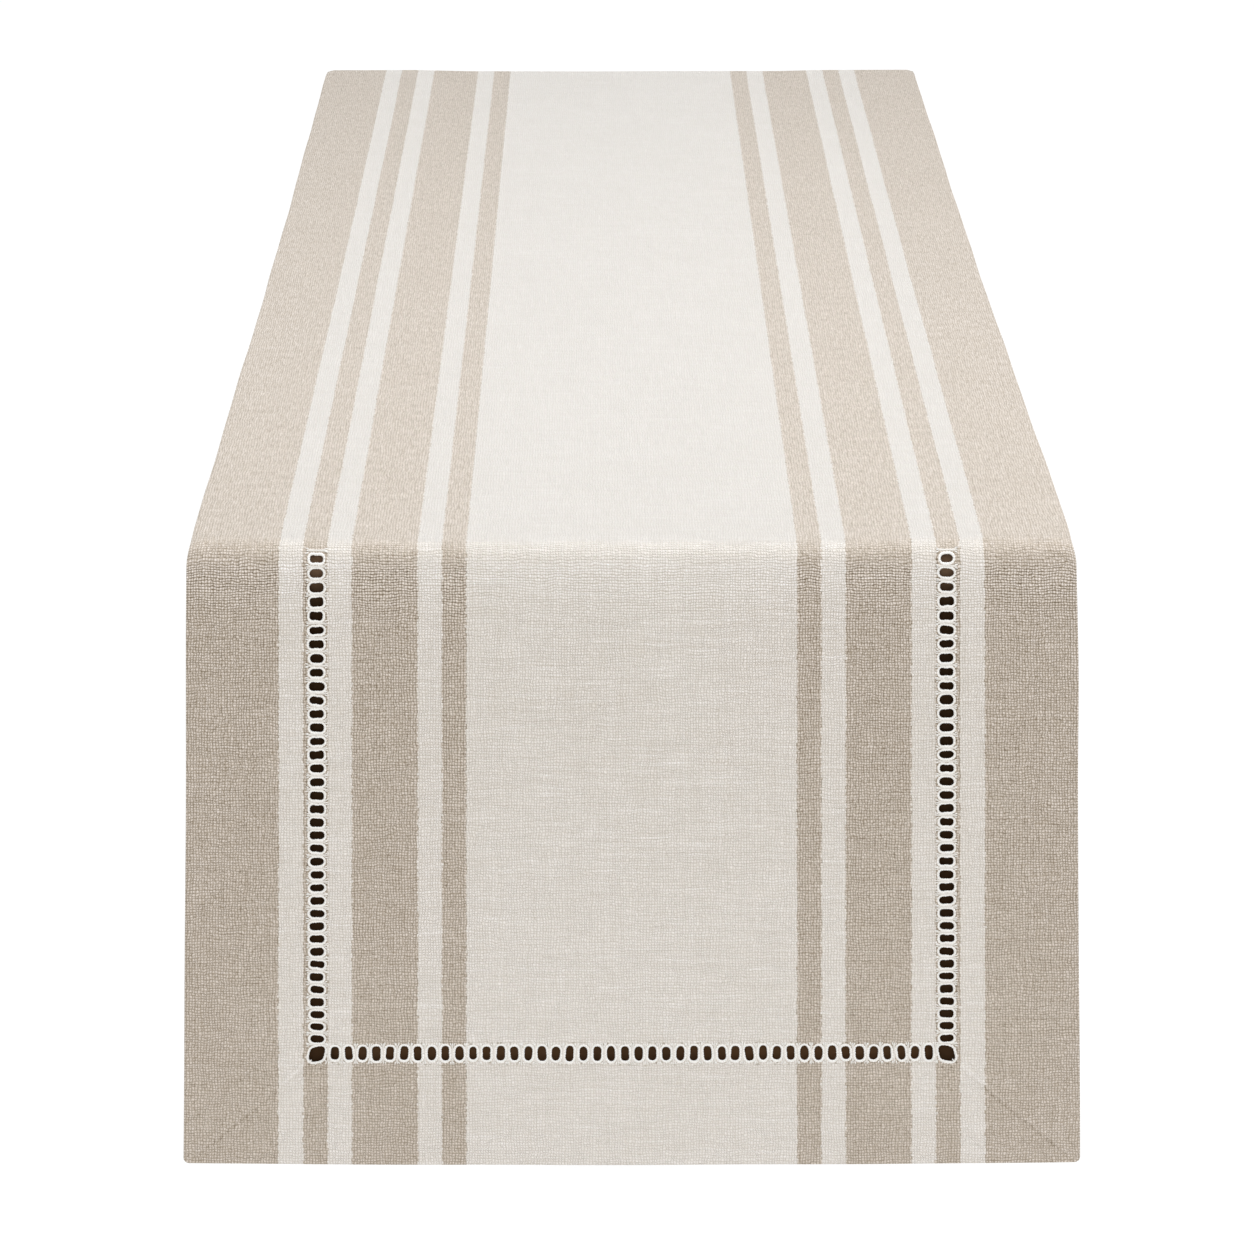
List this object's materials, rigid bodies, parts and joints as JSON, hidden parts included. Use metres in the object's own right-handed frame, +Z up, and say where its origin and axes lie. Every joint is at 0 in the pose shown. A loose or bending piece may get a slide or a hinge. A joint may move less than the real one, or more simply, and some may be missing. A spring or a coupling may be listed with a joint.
{
  "type": "table runner",
  "caption": "Striped woven linen table runner with openwork ladder hems, laid flat over a table with both ends hanging down.",
  "frame": {"origin": "middle of the table top's surface, on the cloth's underside", "axes": "+X across the runner, +Y along it towards the back end, +Z up; the end seen in the picture hangs at -Y"},
  "size_m": [0.3556, 1.3646, 0.2548],
  "materials": {
    "ivory_linen": "natural ivory plain weave, matt",
    "flax_linen": "flax melange plain weave with slubs, matt",
    "ladder_thread": "ivory hemstitch thread, slight sheen",
    "sewing_thread": "natural sewing thread"
  },
  "bodies": {
    "table_span": {"span_centre_band": "ivory_linen", "span_edge_ivory_stripes": "ivory_linen", "span_hem_thread": "sewing_thread", "span_inner_flax_stripes": "flax_linen", "span_inner_ivory_stripes": "ivory_linen", "span_left_border": "flax_linen", "span_left_hem_facing": "flax_linen", "span_narrow_flax_stripes": "flax_linen", "span_outer_ivory_stripes": "ivory_linen", "span_right_border": "flax_linen", "span_right_hem_facing": "flax_linen", "span_wide_flax_stripes": "flax_linen", "back_bend_flax": "flax_linen", "back_bend_hem_facings": "flax_linen", "back_bend_ivory": "ivory_linen", "back_bend_ladder": "ladder_thread", "front_bend_flax": "flax_linen", "front_bend_hem_facings": "flax_linen", "front_bend_ivory": "ivory_linen", "front_bend_ladder": "ladder_thread"},
    "front_drop": {"front_centre_band": "ivory_linen", "front_edge_ivory_stripes": "ivory_linen", "front_end_hem_facing": "flax_linen", "front_end_ladder": "ladder_thread", "front_inner_flax_stripes": "flax_linen", "front_inner_ivory_stripes": "ivory_linen", "front_ladder_corners": "ladder_thread", "front_left_border": "flax_linen", "front_left_hem_facing": "flax_linen", "front_left_ladder": "ladder_thread", "front_mitre_seams": "sewing_thread", "front_narrow_flax_stripes": "flax_linen", "front_outer_ivory_stripes": "ivory_linen", "front_right_border": "flax_linen", "front_right_hem_facing": "flax_linen", "front_right_ladder": "ladder_thread", "front_wide_flax_stripes": "flax_linen"},
    "back_drop": {"back_centre_band": "ivory_linen", "back_edge_ivory_stripes": "ivory_linen", "back_end_hem_facing": "flax_linen", "back_end_ladder": "ladder_thread", "back_inner_flax_stripes": "flax_linen", "back_inner_ivory_stripes": "ivory_linen", "back_ladder_corners": "ladder_thread", "back_left_border": "flax_linen", "back_left_hem_facing": "flax_linen", "back_left_ladder": "ladder_thread", "back_mitre_seams": "sewing_thread", "back_narrow_flax_stripes": "flax_linen", "back_outer_ivory_stripes": "ivory_linen", "back_right_border": "flax_linen", "back_right_hem_facing": "flax_linen", "back_right_ladder": "ladder_thread", "back_wide_flax_stripes": "flax_linen"}
  },
  "joints": [
    {"name": "front_drop_swing", "type": "hinge", "parent": "table_span", "child": "front_drop", "pos_m": [0, -0.6618, -0.00132], "axis": [-1, 0, 0], "range_deg": [0, 86], "deforming": ["front_bend_flax", "front_bend_hem_facings", "front_bend_ivory", "front_bend_ladder"]},
    {"name": "back_drop_swing", "type": "hinge", "parent": "table_span", "child": "back_drop", "pos_m": [0, 0.6618, -0.00132], "axis": [1, 0, 0], "range_deg": [0, 86], "deforming": ["back_bend_flax", "back_bend_hem_facings", "back_bend_ivory", "back_bend_ladder"]}
  ]
}
